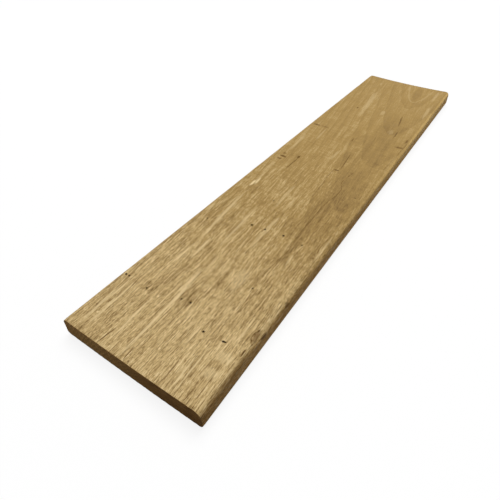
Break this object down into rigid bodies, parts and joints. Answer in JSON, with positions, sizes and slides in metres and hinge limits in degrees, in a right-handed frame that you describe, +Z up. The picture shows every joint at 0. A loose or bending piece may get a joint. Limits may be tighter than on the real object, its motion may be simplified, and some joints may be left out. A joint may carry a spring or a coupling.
{
  "type": "timber plank",
  "caption": "Flat rectangular hardwood plank with rounded long corners, sawn square ends, a slight cup across its width, and pin holes and short checks in its upper face.",
  "frame": {"origin": "middle of the plank on the level its underside rests on", "axes": "+X along the plank's length, +Y across its width, +Z up through its thickness from the underside to the upper face"},
  "size_m": [0.655, 0.1396, 0.0207],
  "materials": {
    "planed_hardwood": "planed and unsealed tan hardwood, straight open grain, darker sawn ends and edges"
  },
  "bodies": {
    "root": {"plank": "planed_hardwood"}
  },
  "joints": []
}
